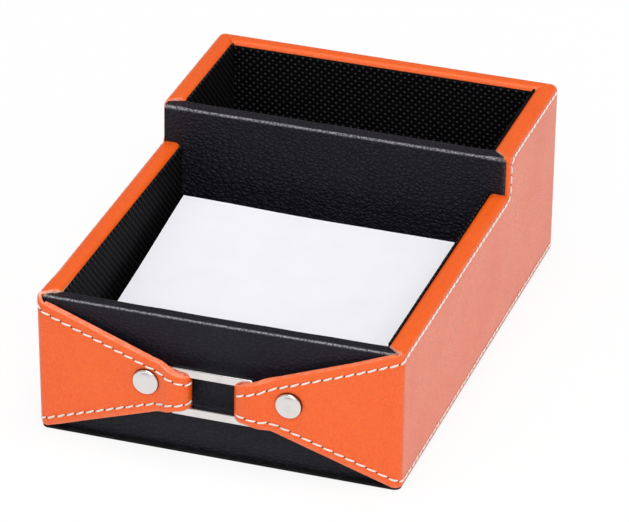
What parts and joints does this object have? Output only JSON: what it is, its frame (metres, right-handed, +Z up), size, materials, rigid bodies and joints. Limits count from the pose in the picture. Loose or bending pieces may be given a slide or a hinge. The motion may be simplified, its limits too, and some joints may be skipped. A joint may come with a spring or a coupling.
{
  "type": "pen holder",
  "caption": "Leather-covered desk tray: a low tray for loose memo sheets in front, a taller pen compartment behind, and riveted straps meeting in a metal ring.",
  "frame": {"origin": "centre of the underside of the box, on the desk, midway between the corners' front and back leather faces", "axes": "+X to the user's right, +Y from the strap side towards the pen compartment, +Z up"},
  "size_m": [0.112, 0.1669, 0.0576],
  "materials": {
    "orange_leather": "smooth grained orange leather with white thread",
    "black_leather": "pebble-grained black leather",
    "black_cloth": "ribbed black cloth",
    "base_felt": "matt black sheet",
    "board": "pressed fibre board",
    "polished_metal": "polished plating",
    "memo_paper": "plain uncoated white paper"
  },
  "bodies": {
    "holder": {"base_sheet": "base_felt", "base_board": "board", "left_side_board": "board", "right_side_board": "board", "front_board": "board", "back_board": "board", "divider_board": "board", "tray_floor_board": "board", "floor_riser": "board", "left_wrap": "orange_leather", "right_wrap": "orange_leather", "left_strap_backing": "orange_leather", "right_strap_backing": "orange_leather", "back_wrap": "orange_leather", "front_cover": "black_leather", "divider_cover": "black_leather", "tray_left_lining": "black_cloth", "tray_right_lining": "black_cloth", "pen_left_lining": "black_cloth", "pen_right_lining": "black_cloth", "pen_back_lining": "black_cloth", "tray_floor_lining": "black_cloth", "pen_floor_lining": "black_cloth", "buckle_ring": "polished_metal", "rivet_caps": "polished_metal", "rivet_backs": "polished_metal"},
    "memo_block": {"memo_sheets": "memo_paper"}
  },
  "joints": [
    {"name": "sheets_lift", "type": "slide", "parent": "holder", "child": "memo_block", "axis": [0, 0, 1], "range_m": [0, 0.06]}
  ]
}
